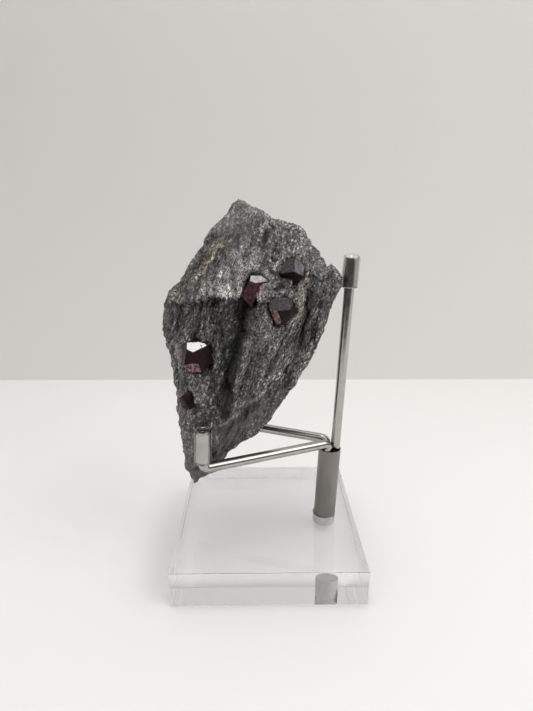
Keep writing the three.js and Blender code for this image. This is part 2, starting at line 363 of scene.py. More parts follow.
def postShape(s):
    # outer wall with a rounded foot, a rolled rim, the bore and its floor
    r, bore, top = s["postRadius"], s["postBore"], s["postHeight"]
    rim = (r - bore) / 2
    profile = [(0, 0), *arc((r - 0.25, 0.25), 0.25, -90, 0, 5), *arc((r - rim, top - rim), rim, 0, 180, 8),
               (bore, s["postPlug"]), (0, s["postPlug"])]
    points, faces = spun(profile)
    return leaned(points, s), faces


def rodShape(s):
    path = np.array([[s["wireCircle"], 0, z] for z in np.linspace(s["legFoot"], s["rodTop"], 40)])
    points, faces = sweptWire(path, s["wireRadius"], [0, 1, 0])
    return leaned(points, s), faces


def armShape(s, arm):
    # leg, quarter bend, level reach, quarter bend, upright; all in the upright plane of the reach
    seat, turn = math.radians(arm["seat"]), math.radians(arm["turn"])
    out = np.array([math.cos(turn), math.sin(turn), 0])
    up = np.array([0, 0, 1.0])
    bend = s["bendRadius"]
    leg = np.array([math.cos(seat) * s["wireCircle"], math.sin(seat) * s["wireCircle"], 0])
    level = s["bendStart"] + 1.65
    quarter = np.linspace(0, np.pi / 2, 15)[:, None]
    low = leg + np.linspace(s["legFoot"], level - bend, 8)[:, None] * up
    first = low[-1] + bend * (np.sin(quarter) * up + (1 - np.cos(quarter)) * out)
    elbow = leg + level * up + (arm["reach"] - bend) * out
    reach = first[-1] + np.linspace(0, 1, 30)[1:-1, None] * (elbow - first[-1])
    second = elbow + bend * (np.sin(quarter) * out + (1 - np.cos(quarter)) * up)
    end = second[-1] + np.linspace(0, s["upright"], 8)[1:, None] * up
    path = np.vstack([low[:-1], first, reach, second, end])
    points, faces = sweptWire(path, s["wireRadius"], np.cross(out, up))
    return leaned(points, s), faces, path[-1]


cap = {
    "vinyl": {"tone": (0.95, 0.955, 0.95), "ior": 1.5, "low": 0.04, "high": 0.12},
    "radius": 2.17,
    "bore": 1.28,  # a push fit, so it grips the wire
    "overWire": 1.0,  # soft end beyond the wire
    "rodLength": 8.4,
    "armLength": 9.4,
}


def capShape(s, c, end, length):
    # a sleeve closed by a rounded end, bored to the end of the wire
    r, bore = c["radius"], c["bore"]
    inner = length - c["overWire"] + 0.02
    profile = [(0, inner), (bore - 0.2, inner), *arc((bore - 0.2, inner - 0.2), 0.2, 90, 0, 3), (bore, 0.15),
               (bore + 0.15, 0), (r - 0.18, 0), *arc((r - 0.18, 0.18), 0.18, -90, 0, 4),
               *arc((r - 1.3, length - 1.3), 1.3, 0, 90, 10), (0, length)]
    points, faces = spun(profile, 80)
    return leaned(points + [end[0], end[1], end[2] + c["overWire"] - length], s), faces


# stone

stone = {
    "centre": (-5.0, -0.5, 62.0),
    "blunt": 5.2,
    "softness": 0.4,
    "grid": (140, 60, 196),
    "lean": 19.0,
    "outline": [
        (18.2, 80), (15.7, 82.5), (14.8, 81.6), (12, 85.7), (10.4, 87.2), (8.6, 91), (6.8, 92.1), (4.5, 92.4),
        (0.7, 93.2), (-1.4, 95), (-5.4, 97.2), (-7, 98.1), (-8.7, 97), (-10, 94.7), (-13.7, 91.2),
        (-16, 87.8), (-18.6, 83.8), (-21.6, 78.8), (-25, 75.8), (-26.3, 74), (-27.1, 70.5), (-26.8, 67.5),
        (-25.1, 60), (-24.2, 50), (-23.7, 41), (-23.3, 32.5), (-22.3, 25.8), (-20.9, 21.4), (-17.7, 24.2),
        (-15.2, 26.2), (-12.6, 30.4), (-10.6, 33.6), (-6.8, 35.7), (-2.4, 38.4), (0.1, 41), (1.8, 44.3),
        (4.5, 48.1), (7.8, 52.6), (12.3, 60.4), (13.1, 63.4), (14, 67), (16, 73.8), (18.3, 78.5),
    ],
    # at, outward direction, thickness there, rise inwards
    "frontFacets": [
        ((-5, 97), (0, 1), 4.5, 0.45), ((-5, 76), (0, 1), 14.1, -0.012), ((-27, 68), (-1, 0), 6, 0.82),
        ((-20, 22), (0, -1), 5, 0.7), ((18.4, 78.5), (0.93, -0.37), 5, 0.62),
        ((18.3, 80), (0.75, 0.66), 4.5, 0.62), ((7.8, 52.6), (0.74, -0.67), 9.5, 0.85),
    ],
    "backFacets": [
        ((-5, 97), (0, 1), 4, 0.55), ((-5, 90), (0, 1), 11.6, -0.012), ((-27, 68), (-1, 0), 6, 0.7),
        ((-20, 22), (0, -1), 5, 0.6), ((18.4, 78.5), (0.93, -0.37), 4.5, 0.5),
        ((18.3, 80), (0.75, 0.66), 4.5, 0.5), ((7.8, 52.6), (0.74, -0.67), 8, 0.6),
    ],
    # path, width, height, one-sided step
    "frontStrokes": [
        ([(-23.5, 74), (-14.2, 76.4), (-10.3, 76.7), (-5, 76.2)], 6, -2.6, True),
        ([(-13.5, 77.6), (-6, 77.4)], 1.8, 0.6, False),
        ([(-4.6, 74.5), (-6.8, 68.5), (-8.5, 62.6), (-12, 50)], 3.4, -2.6, True),
        ([(-2.8, 75), (-4.5, 69), (-6.4, 62.6), (-9.6, 53)], 2.2, 1.0, False),
        ([(10, 77), (8.8, 69.7), (7.6, 64)], 3, -1.6, True),
        ([(14.2, 79), (12.8, 72), (10.6, 64)], 2.6, -1.2, True),
        ([(0.7, 93.4), (-0.7, 89.5), (-1.9, 86.3)], 3, -1.4, True),
        ([(-16.1, 43.6), (-12.4, 43.6)], 2.2, -1.2, False),
        ([(-10.4, 88.3), (-15.1, 83.4), (-19.6, 78.8)], 3, -1.2, True),
        ([(1.5, 79), (8, 80.2)], 2.6, -1.1, True),
        ([(4.5, 68), (0.5, 58), (-3, 51)], 4, -1.1, True),
    ],
    "backStrokes": [
        ([(-15, 86), (-18, 70), (-20, 50)], 5, -1.8, True),
        ([(0, 91), (-5, 74), (-10, 56), (-14, 40)], 4, -1.9, True),
        ([(11, 80), (7, 66), (2, 54)], 5, -1.6, True),
        ([(-9, 82), (3, 80)], 4, -1.2, True),
    ],
    # length, height, sway, sway length, phase
    "leaves": [(8.6, 0.75, 1.2, 33, 0.4), (4.9, 0.55, 1.1, 19, 2.1)],
    # height, length and seed of the broad lumps; the rest of the relief in millimetres
    "lumps": [(0.38, 4.6, 21), (0.16, 1.5, 31)],
    "stretch": 0.26,
    "flakeHeight": 0.42,
    "flakeLength": 2.6,
    "grainHeight": 0.07,
    "rimHeight": 0.35,
    "moatDepth": 0.8,
    "fineLeaves": [(2.6, 0.42), (1.35, 0.22), (0.8, 0.09)],
    # path, width, tone in doublings, one-sided; painted shade in the recess under the ledge, the main groove, a
    # crack and a valley, painted highlights on the ledge rim and the ridges, and lighter and darker patches of
    # the rock's own colour
    "toneAndShadeStrokes": [
        ([(-5, 95), (-8, 84)], 9.0, 0.5, False),
        ([(-3, 68), (-7, 58)], 6.0, -0.85, False),
        ([(-15.5, 52), (-16, 42)], 5.0, 0.55, False),
        ([(0.2, 82.2), (1.7, 82.0), (3.2, 81.2)], 0.5, -3.4, False),
        ([(-22, 72), (-22, 62)], 4.0, 0.5, False),
        # painted highlight along the rim of the ledge
        ([(-5, 76.5), (-10.3, 77), (-14.2, 76.7), (-18, 75.6)], 1.8, 0.55, True),
        ([(-10.2, 80.4), (-4.5, 82.9)], 4.5, 0.25, False),
        ([(-4.5, 83.6), (-1.9, 84.7)], 3.0, 0.3, False),
        # painted shade in the recess under the ledge
        ([(-24, 73.8), (-14.2, 76.4), (-10.3, 76.7), (-5.4, 76.2)], 5.5, -0.65, True),
        ([(-16.2, 69.3), (-8.1, 68.1)], 4.0, -0.35, False),
        ([(-10.2, 88.6), (-13.3, 86.2), (-15.4, 84.1), (-16.8, 82.1)], 0.9, 0.8, False),
        ([(-17.8, 80.5), (-22.6, 76.7), (-24.2, 74.3)], 1.1, 0.5, False),
        ([(-13.2, 90), (-15.2, 87.2), (-18.2, 82.2), (-20.6, 77.5)], 0.9, -1.5, False),
        ([(-0.8, 94), (-1.4, 92), (-2.1, 89.6)], 0.7, 1.0, False),
        # painted shade in a crack
        ([(-0.6, 91.2), (-1.2, 89), (-1.6, 87.2)], 0.5, -3.4, False),
        ([(8.4, 82.7), (7.5, 76.6), (6.7, 71)], 1.3, 0.7, False),
        # painted shade in a valley of the right flank
        ([(10, 75.5), (9.2, 70.7), (8.0, 63.7)], 1.3, -2.3, False),
        ([(-1.9, 71.2), (-0.9, 66.2)], 2.2, 0.6, False),
        # painted shade in the main groove
        ([(-5.5, 74), (-7, 68.1), (-8.7, 61.7), (-10.1, 54.1), (-11, 48)], 1.1, -3.2, False),
        # painted highlight on the ridge beside the groove
        ([(-3.9, 70), (-5.4, 65.2), (-7.9, 55.2), (-9.3, 49)], 0.6, 1.4, False),
        ([(4, 65.7), (0.1, 59), (-4.5, 51.5)], 3.0, 0.5, False),
        ([(11.5, 76), (10.3, 69)], 1.0, 0.6, False),
        # painted highlight on the low ridge, and painted shade under it
        ([(-0.9, 52.5), (-6.5, 48.3), (-11.9, 44.6)], 0.6, 1.1, False),
        ([(-1.6, 50.2), (-7, 46.2), (-11.5, 43)], 1.2, -0.8, False),
        ([(-14.3, 64.2), (-13, 60.8)], 0.35, 1.1, False),
        ([(-20.3, 74.3), (-21.3, 68.1)], 1.0, -0.4, False),
        ([(-23.1, 73.1), (-23, 65.8), (-22.4, 58.1)], 0.6, 0.4, False),
        ([(-21.6, 43.8), (-18.1, 45.4), (-15.3, 45.7)], 0.45, 0.7, False),
    ],
    # path, width, strength of the light grains, partly the rock's own light grains and partly painted glints of
    # the mica
    "sparkles": [
        ([(-14.5, 77.4), (-6, 77.6)], 2.0, 0.75), ([(-10.2, 80.4), (-3, 83)], 4.0, 0.35),
        ([(8.4, 82.7), (7.5, 76.6), (6.7, 71)], 1.6, 0.5), ([(-1.9, 71.2), (-2.5, 60)], 2.6, 0.4),
        ([(11, 83.4), (12.5, 80.9)], 2.0, 0.3),
    ],
    "stains": [
        ([(-10.2, 88.6), (-13.3, 86.2), (-15.4, 84.1), (-16.8, 82.1)], 1.2, 0.9),
        ([(8.4, 82.7), (7.5, 76.6), (6.7, 71)], 1.4, 0.55), ([(-17.8, 80.5), (-22.6, 76.7)], 1.2, 0.4),
    ],
    # where the rock is smooth and even
    "calms": [
        ([(-3, 47.5), (-9, 41.5), (-13.5, 37), (-18, 27)], 4.0, 0.85), ([(-7, 97), (-8, 91)], 6.0, 0.6),
        ([(-23, 40), (-22, 28)], 2.5, 0.7), ([(-24.5, 72), (-25, 62)], 2.0, 0.5),
    ],
    "blushes": [
        ([(-22.6, 64), (-21.8, 60.7)], 0.7, 0.5), ([(-22, 51.2), (-21.4, 47.9)], 0.8, 0.6),
        ([(-6.4, 76), (-5.6, 72)], 1.2, 0.5), ([(-5, 80.6), (-1.5, 79)], 0.8, 0.4),
    ],
}


def outlineReach(angle, outline, centre):
    # how far the straight-sided outline lies from the middle along each angle
    a = np.array(outline) - centre
    edge = np.roll(a, -1, axis=0) - a
    dx, dz = np.cos(angle)[:, None], np.sin(angle)[:, None]
    across = dx * edge[:, 1] - dz * edge[:, 0]
    share = (a[:, 0] * dz - a[:, 1] * dx) / across
    reach = (a[:, 0] * edge[:, 1] - a[:, 1] * edge[:, 0]) / across
    return np.where((reach > 0) & (share > -1e-9) & (share < 1 + 1e-9), reach, 0).max(axis=1)


def strokeHeight(x, z, path, width, height, step):
    # a bell across the nearest point of the path; a step keeps only its right hand side
    nearest = np.full(len(x), np.inf)
    hand = np.zeros(len(x))
    for (ax, az), (bx, bz) in zip(path[:-1], path[1:]):
        ex, ez = bx - ax, bz - az
        t = np.clip(((x - ax) * ex + (z - az) * ez) / (ex * ex + ez * ez), 0, 1)
        distance = np.hypot(x - ax - t * ex, z - az - t * ez)
        side = -(ex * (z - az) - ez * (x - ax)) / math.hypot(ex, ez)
        closer = distance < nearest
        nearest = np.where(closer, distance, nearest)
        hand = np.where(closer, side, hand)
    bell = height * np.exp(-(nearest / width) ** 2)
    return bell * smoothStep(-0.25, 0.25, hand) if step else bell


def faceThickness(x, z, facets, strokes, s, side):
    # soft minimum of the broken faces, plus strokes and the rounded leaves of the layering
    rows = [edge + rise * ((at[0] - x) * out[0] + (at[1] - z) * out[1]) for at, out, edge, rise in facets]
    height = -s["softness"] * np.log(np.exp(-np.array(rows) / s["softness"]).sum(axis=0))
    wander = np.stack([x, z, np.full(len(x), side * 9.0)], -1)
    warpX = x + 0.7 * layeredNoise(wander / 3.1, 3, 3)
    warpZ = z + 0.7 * layeredNoise(wander / 3.1, 7, 3)
    for path, width, depth, step in strokes:
        height += strokeHeight(warpX, warpZ, path, width, depth, step)
    lean = math.radians(s["lean"])
    across = x * math.cos(lean) - z * math.sin(lean)
    along = x * math.sin(lean) + z * math.cos(lean)
    for length, lift, sway, swayLength, phase in s["leaves"]:
        bent = sway * np.sin(2 * np.pi * along / swayLength + phase)
        height += lift * (2 * np.abs(np.sin(np.pi * across / length + bent + phase + side)) - 1.3)
    return height


def pointNormals(points, quads):
    # face normals of the diagonals added up at each point
    a, b, c, d = (points[quads[:, k]] for k in range(4))
    face = np.cross(c - a, d - b)
    total = np.zeros_like(points)
    for k in range(4):
        for axis in range(3):
            total[:, axis] += np.bincount(quads[:, k], face[:, axis], len(points))
    return total / np.linalg.norm(total, axis=1)[:, None]


def stoneShape(s, crystals):
    # directions of a box grid, turned with the layering; each maps to the outline times a blunt curve,
    # and to the thickness of the front or the back face
    box, quads = boxGrid(*s["grid"])
    lean = math.radians(s["lean"])
    dx = box[:, 0] * math.cos(lean) + box[:, 2] * math.sin(lean)
    dz = box[:, 2] * math.cos(lean) - box[:, 0] * math.sin(lean)
    flat, deep = np.hypot(dx, dz), np.abs(box[:, 1])
    level = (flat ** s["blunt"] + deep ** s["blunt"]) ** (1 / s["blunt"])
    angle = np.arctan2(dz, dx)
    cx, cy, cz = s["centre"]
    radius = outlineReach(angle, s["outline"], (cx, cz)) * flat / level
    x, z = cx + radius * np.cos(angle), cz + radius * np.sin(angle)
    front = -faceThickness(x, z, s["frontFacets"], s["frontStrokes"], s, 0)
    back = faceThickness(x, z, s["backFacets"], s["backStrokes"], s, 1.7)
    y = cy + np.where(box[:, 1] < 0, front, back) * deep / level
    points = np.stack([x, y, z], -1)
    normals = pointNormals(points, quads)
    if (normals * (points - s["centre"])).sum() < 0:
        normals = -normals
    relief = stoneRelief(points, s, crystals)
    return points + normals * relief[:, None], quads, relief


def stoneRelief(points, s, crystals):
    # fine leaves, small broken steps and crumbly grain, in millimetres along the surface normal
    lean = math.radians(s["lean"])
    across = points[:, 0] * math.cos(lean) - points[:, 2] * math.sin(lean)
    along = points[:, 0] * math.sin(lean) + points[:, 2] * math.cos(lean)
    local = np.stack([across, points[:, 1], along * s["stretch"]], -1)
    relief = sum(height * layeredNoise(local / length, seed, 3) for height, length, seed in s["lumps"])
    wander = 1.6 * layeredNoise(local / 6.0, 41, 3)
    for k, (length, lift) in enumerate(s["fineLeaves"]):
        strength = 0.6 + 0.8 * latticeNoise(local / (length * 2.2), 51 + k)
        phase = np.pi * (across + 0.45 * points[:, 1]) / length + wander * 2.2 / (k + 1)
        relief += lift * np.clip(strength, 0, 1.4) * (2 * np.abs(np.sin(phase)) - 1.3)
    flakes = 2.0 * layeredNoise(local / 3.4, 61, 3) + across / s["flakeLength"]
    part = flakes - np.floor(flakes)
    relief += s["flakeHeight"] * (smoothStep(0.82, 1.0, part) - part)
    relief += s["grainHeight"] * latticeNoise(points / 0.6, 71)
    for c in crystals:  # a shallow moat where the rock has shrunk from each crystal
        gap = ((points - c["place"]) @ c["normals"].T - c["reach"]).max(axis=1)
        ragged = 0.6 + 0.8 * latticeNoise(points / 1.3, 75)
        relief += s["rimHeight"] * np.exp(-((gap - 1.2) / 0.9) ** 2)
        relief -= s["moatDepth"] * ragged * np.exp(-(gap / 0.45) ** 2)
    return relief - 0.02


def strokePaint(points, strokes, base=0.0):
    # bells across paths on the front, faded out towards the back; paths wander with the grain
    wander = layeredNoise(points / 2.4, 91, 3)
    drift = layeredNoise(points / 2.4, 97, 3)
    x, z = points[:, 0] + 0.4 * wander, points[:, 2] + 0.4 * drift
    total = np.full(len(points), float(base))
    for path, width, value, *step in strokes:
        total += strokeHeight(x, z, path, width, value, bool(step and step[0]))
    return total * smoothStep(5, 0, points[:, 1])


# garnets

garnets = {
    "grid": 44,
    "edge": 70,  # higher is sharper
    "cornerFacing": (0.71, 0.22, 0.675),
    # slate, pale, worn, wine and gloss of each kind of face; on the bright and glint faces part of the pale is a
    # painted highlight
    "looks": {
        "dark": (0, 0, 0, 0, 0), "slate": (1, 0, 0, 0, 0.08), "bright": (1, 0.12, 0, 0, 0.3),
        "pale": (0.3, 1, 0, 0, 0.3), "worn": (0, 0, 1, 0, 0), "wine": (0, 0, 0.12, 1, 0.1),
        "brown": (0.1, 0, 0, 0.15, 0.02), "glint": (0.6, 0.2, 0, 0, 0.92),
    },
    # faces are facing, distance from the middle, and look
    "crystals": {
        "garnetUpperRight": {
            "node": "garnet_upper_right", "shift": (0, 0.1, 0), "corner": 2.75,
            "faces": [
                ((-0.3, -0.74, 0.6), 1.65, "slate"), ((0.47, -0.72, 0.51), 1.75, "bright"),
                ((-0.1, -0.8, -0.6), 1.55, "dark"), ((-0.95, -0.25, -0.19), 3.2, "dark"),
                ((0, 0.01, 1), 2.7, "slate"), ((0.97, -0.22, -0.03), 2.6, "dark"),
                ((0, -0.31, -0.95), 2.6, "dark"), ((0, 0.95, -0.31), 2.3, "dark"),
            ],
        },
        "garnetUpperMiddle": {
            "node": "garnet_upper_middle", "shift": (0, 0.1, 0), "corner": 3.4,
            "faces": [
                ((0.11, -0.6, 0.79), 2.4, "pale"), ((0.3, -0.95, 0.05), 1.7, "wine"),
                ((-0.25, -0.96, 0.1), 1.75, "wine"), ((0.78, -0.43, -0.45), 1.75, "dark"),
                ((-0.85, -0.25, 0.46), 2.3, "dark"), ((-0.2, -0.66, -0.73), 3.45, "wine"),
                ((0, 0.21, 0.98), 3.2, "slate"), ((1, 0, 0), 2.8, "dark"), ((0, 0.95, -0.31), 2.6, "dark"),
            ],
        },
        "garnetMiddle": {
            "node": "garnet_middle", "shift": (0, 0.1, 0), "corner": 3.15,
            "faces": [
                ((0.06, -0.76, 0.65), 2.1, "slate"), ((0.1, -0.93, -0.35), 2.05, "dark"),
                ((-0.42, -0.76, -0.48), 1.95, "worn"), ((-0.81, -0.36, -0.47), 2.25, "dark"),
                ((0.9, -0.44, -0.07), 2.94, "dark"), ((-0.1, -0.13, 0.99), 2.9, "slate"),
                ((0.4, -0.67, -0.62), 2.4, "dark"), ((0, -0.31, -0.95), 3.2, "dark"),
                ((0, 0.95, -0.31), 2.8, "dark"), ((-0.98, 0.06, 0.19), 2.84, "dark"),
            ],
        },
        "garnetLeft": {
            "node": "garnet_left", "shift": (0.1, 0.6, 0.7), "corner": 3.7,
            "faces": [
                ((0.08, -0.58, 0.81), 2.9, "glint"), ((-0.3, -0.94, 0.15), 2.85, "brown"),
                ((0.42, -0.84, 0.34), 2.65, "dark"), ((-0.16, -0.9, -0.4), 3.15, "worn"),
                ((0.73, -0.67, -0.14), 2.9, "dark"), ((-0.95, -0.25, 0.19), 2.8, "dark"),
                ((0, 0.06, 1), 3.6, "dark"), ((0.98, -0.11, 0.14), 3.41, "dark"),
                ((0, -0.49, -0.87), 3.8, "dark"), ((0, 0.95, -0.31), 3.0, "dark"),
            ],
        },
        "garnetLowerLeft": {
            "node": "garnet_lower_left", "shift": (0, 0.3, 0), "corner": 2.0, "edge": 12,
            "faces": [
                ((0, -0.75, 0.66), 1.85, "dark"), ((0.5, -0.85, 0.1), 1.9, "dark"),
                ((-0.55, -0.8, 0.2), 1.9, "slate"), ((0, -0.8, -0.6), 1.9, "brown"),
                ((-0.95, -0.2, -0.2), 1.95, "brown"), ((0.95, 0, 0.2), 2.0, "dark"),
                ((0, 0.1, 1), 2.0, "slate"), ((0, -0.2, -0.98), 2.05, "worn"), ((0, 1, 0), 1.7, "dark"),
            ],
        },
    },
}
for crystal in garnets["crystals"].values():
    low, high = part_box(crystal["node"])
    crystal["place"] = (np.array(low) + np.array(high)) / 2 / mm + crystal["shift"]
    across, deep, high = garnets["cornerFacing"]
    crystal["faces"] += [((across * side, deep * up, high * up), crystal["corner"], "dark")
                         for side in (-1, 1) for up in (-1, 1)]
    facing = np.array([f[0] for f in crystal["faces"]])
    crystal["normals"] = facing / np.linalg.norm(facing, axis=1)[:, None]
    crystal["reach"] = np.array([f[1] for f in crystal["faces"]])


def crystalShape(g, c, seed):
    # along each direction the nearest face plane, blended by a high power so that edges are slightly worn
    directions, quads = boxGrid(g["grid"], g["grid"], g["grid"])
    facing = np.clip(directions @ c["normals"].T / c["reach"], 1e-6, None)
    edge = c.get("edge", g["edge"])
    radius = (facing ** edge).sum(axis=1) ** (-1 / edge)
    points = directions * radius[:, None]
    radius *= 1 + 0.012 * layeredNoise(points / 0.9 + seed, 80 + seed, 3)
    looks = np.array([g["looks"][f[2]] for f in c["faces"]], float)
    return directions * radius[:, None] + c["place"], quads, looks[np.argmax(facing, axis=1)]


# finishes


def attribute(tree, name):
    # the number painted on the points under this name
    return addNode(tree, "ShaderNodeAttribute", attribute_name=name).outputs["Fac"]


def schistFinish(s):
    # speckled grains times broad cloud, fibres and leaves; painted stains, blush and light grains on top, then
    # the shade number with its painted shade, painted highlights and the rock's own lighter and darker patches;
    # mica flakes tilt the normal
    finish, tree, shader = newFinish("schist")
    turn = (0, math.radians(-s["lean"] - 5), 0)
    fibres = objectPlace(tree, (1, 1, 0.16), turn)
    streaked = objectPlace(tree, (1, 1, 0.35), turn)
    plain = objectPlace(tree, (1, 1, 0.6), turn)
    grains = addNode(tree, "ShaderNodeTexVoronoi", {"Vector": plain, "Scale": 3.0})
    fine = addNode(tree, "ShaderNodeTexVoronoi", {"Vector": plain, "Scale": 6.5})
    grainTone = addNode(tree, "ShaderNodeSeparateColor", {"Color": grains.outputs["Color"]})
    fineTone = addNode(tree, "ShaderNodeSeparateColor", {"Color": fine.outputs["Color"]})
    broad = noiseAt(tree, streaked, 0.2, 5, 0.6)
    fibre = noiseAt(tree, fibres, 2.0, 4, 0.6)
    leaf = noiseAt(tree, fibres, 0.55, 4, 0.6)
    speckle = ramp(tree, grainTone.outputs[0],
                   [(0.0, 0.015), (0.4, 0.05), (0.62, 0.22), (0.82, 0.52), (0.96, 0.9)])
    pepper = ramp(tree, fineTone.outputs[0], [(0.0, 0.02), (0.4, 0.09), (0.7, 0.3), (0.95, 0.7)])
    tone = mixed(tree, 0.25, speckle, pepper)
    shade = ramp(tree, broad, [(0.3, (0.45, 0.45, 0.475)), (0.7, (1.0, 0.985, 0.95))])
    tone = mixed(tree, 1.0, tone, shade, "MULTIPLY")
    bands = ramp(tree, fibre, [(0.34, 0.33), (0.5, 0.85), (0.64, 1.6)])
    tone = mixed(tree, 1.0, tone, bands, "MULTIPLY")
    # darker where the leaf bump sinks: the layering's own colour and painted shade in its grooves; the even
    # colour of the calm parts below does the same
    tone = mixed(tree, 1.0, tone, ramp(tree, leaf, [(0.34, 0.45), (0.5, 0.85), (0.62, 1.3)]), "MULTIPLY")
    even = ramp(tree, leaf, [(0.34, (0.08, 0.08, 0.084)), (0.62, (0.145, 0.142, 0.138))])
    tone = mixed(tree, attribute(tree, "calm"), tone, even)
    # light grains where sparkle is painted: partly real grains, partly painted mica glints
    spots = sums(tree, "MULTIPLY", attribute(tree, "sparkle"),
                 ramp(tree, fineTone.outputs[1], [(0.55, 0.0), (0.75, 0.85)]))
    tone = mixed(tree, spots, tone, (0.62, 0.6, 0.56, 1))
    rust = ramp(tree, grainTone.outputs[1], [(0.9, 0.0), (0.94, 0.55)])
    tone = mixed(tree, rust, tone, (0.17, 0.125, 0.085, 1))
    tone = mixed(tree, attribute(tree, "stain"), tone, (1.0, 0.86, 0.66, 1), "MULTIPLY")
    tone = mixed(tree, attribute(tree, "blush"), tone, (0.33, 0.2, 0.21, 1))
    # the shade number scales the colour: painted shade and painted highlights from the strokes and the relief,
    # and the rock's own lighter and darker patches
    shaded = addNode(tree, "ShaderNodeVectorMath", {0: tone, 3: attribute(tree, "shade")}, operation="SCALE")
    tree.links.new(shaded.outputs[0], shader.inputs["Base Color"])
    flake = addNode(tree, "ShaderNodeTexVoronoi", {"Vector": plain, "Scale": 3.2})
    flakeTone = addNode(tree, "ShaderNodeSeparateColor", {"Color": flake.outputs["Color"]})
    mica = ramp(tree, flakeTone.outputs[2], [(0.0, 0.75), (0.72, 0.6), (0.78, 0.24)])
    tree.links.new(mica, shader.inputs["Roughness"])
    crumble = sums(tree, "ADD", grains.outputs["Distance"], noiseAt(tree, plain, 3.5, 4, 0.65))
    normal = bumped(tree, leaf, 0.8, 0.0012)
    normal = bumped(tree, fibre, 0.8, 0.0005, normal)
    normal = bumped(tree, crumble, 0.7, 0.00025, normal)
    tilt = addNode(tree, "ShaderNodeVectorMath", {0: flake.outputs["Color"], 1: (0.5,) * 3}, operation="SUBTRACT")
    amount = ramp(tree, flakeTone.outputs[2], [(0.7, 0.15), (0.78, 0.8)])
    tilted = addNode(tree, "ShaderNodeVectorMath", {0: tilt.outputs[0], 1: amount}, operation="MULTIPLY")
    leaning = addNode(tree, "ShaderNodeVectorMath", {0: normal, 1: tilted.outputs[0]}, operation="ADD")
    facing = addNode(tree, "ShaderNodeVectorMath", {0: leaning.outputs[0]}, operation="NORMALIZE")
    tree.links.new(facing.outputs[0], shader.inputs["Normal"])
    return finish


def garnetFinish():
    # dark red body with wine, slate, pale and worn faces mixed in where they are painted
    finish, tree, shader = newFinish("garnet")
    place = objectPlace(tree)
    body = noiseAt(tree, place, 0.5, 5, 0.6)
    tone = ramp(tree, body, [(0.38, (0.009, 0.006, 0.008)), (0.56, (0.02, 0.008, 0.011)),
                             (0.74, (0.042, 0.012, 0.016))])
    dust = noiseAt(tree, place, 2.6, 4, 0.6)
    wine = mixed(tree, ramp(tree, noiseAt(tree, place, 1.1, 4, 0.6), [(0.4, 0.0), (0.62, 1.0)]),
                 (0.016, 0.006, 0.009, 1), (0.09, 0.03, 0.04, 1))
    tone = mixed(tree, attribute(tree, "wine"), tone, wine)
    slate = mixed(tree, ramp(tree, dust, [(0.4, 0.0), (0.64, 1.0)]),
                  (0.022, 0.02, 0.025, 1), (0.085, 0.08, 0.088, 1))
    tone = mixed(tree, attribute(tree, "slate"), tone, slate)
    pale = mixed(tree, ramp(tree, noiseAt(tree, place, 4.0, 3, 0.6), [(0.4, 0.0), (0.55, 1.0)]),
                 (0.1, 0.095, 0.1, 1), (0.3, 0.29, 0.29, 1))
    tone = mixed(tree, attribute(tree, "pale"), tone, pale)
    worn = mixed(tree, ramp(tree, dust, [(0.42, 0.0), (0.6, 1.0)]), (0.17, 0.06, 0.065, 1), (0.5, 0.35, 0.35, 1))
    patches = ramp(tree, noiseAt(tree, place, 0.8, 4, 0.6), [(0.42, 0.35), (0.56, 1.0)])
    tone = mixed(tree, sums(tree, "MULTIPLY", attribute(tree, "worn"), patches), tone, worn)
    tree.links.new(tone, shader.inputs["Base Color"])
    tree.links.new(ramp(tree, dust, [(0.35, 0.25), (0.7, 0.5)]), shader.inputs["Roughness"])
    tree.links.new(bumped(tree, noiseAt(tree, place, 1.4, 5, 0.6), 0.45, 0.0003), shader.inputs["Normal"])
    tree.links.new(attribute(tree, "gloss"), shader.inputs["Coat Weight"])
    shader.inputs["Specular IOR Level"].default_value = 0.1
    shader.inputs["Coat IOR"].default_value = 2.2
    shader.inputs["Coat Roughness"].default_value = 0.08
    return finish


def steelFinish(name, tone, low, high, along):
    # drawn lines and soft cloud shade the tone and the roughness
    finish, tree, shader = newFinish(name)
    drawn = objectPlace(tree, along)
    lines = noiseAt(tree, drawn, 1.0, 4, 0.6)
    cloud = noiseAt(tree, objectPlace(tree), 0.25, 3, 0.5)
    both = mixed(tree, 0.45, lines, cloud)
    shade = ramp(tree, both, [(0.3, tuple(0.8 * t for t in tone)), (0.7, tone)])
    tree.links.new(shade, shader.inputs["Base Color"])
    tree.links.new(ramp(tree, both, [(0.3, low), (0.7, high)]), shader.inputs["Roughness"])
    tree.links.new(bumped(tree, lines, 0.12, 0.0001), shader.inputs["Normal"])
    shader.inputs["Metallic"].default_value = 1.0
    return finish


def clearFinish(name, tone, ior, low, high, clear=1.0):
    # clear plastic with faint smears in its roughness
    finish, tree, shader = newFinish(name)
    smear = noiseAt(tree, objectPlace(tree), 0.16, 5, 0.6)
    tree.links.new(ramp(tree, smear, [(0.4, low), (0.75, high)]), shader.inputs["Roughness"])
    shader.inputs["Base Color"].default_value = (*tone, 1)
    shader.inputs["Transmission Weight"].default_value = clear
    shader.inputs["IOR"].default_value = ior
    return finish


# assembly


def place(piece, node, finish, slot):
    # finish, body and replaced solid of one piece; the slot is not used
    piece.data.materials.append(finish)
    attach(piece, "root")
    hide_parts(node)


postSpot = np.array(stand["foot"][:2])
points, faces, frosted = blockShape(block, postSpot)
clearBlock = makePiece("clearBlock", points, faces, 0)
place(clearBlock, "base", clearFinish("clearAcrylic", **block["clear"]), "clear_block")
clearBlock.data.materials.append(clearFinish("frostedAcrylic", **block["frosted"]))
clearBlock.data.polygons.foreach_set("material_index", frosted.astype(np.int32))
print("block made")

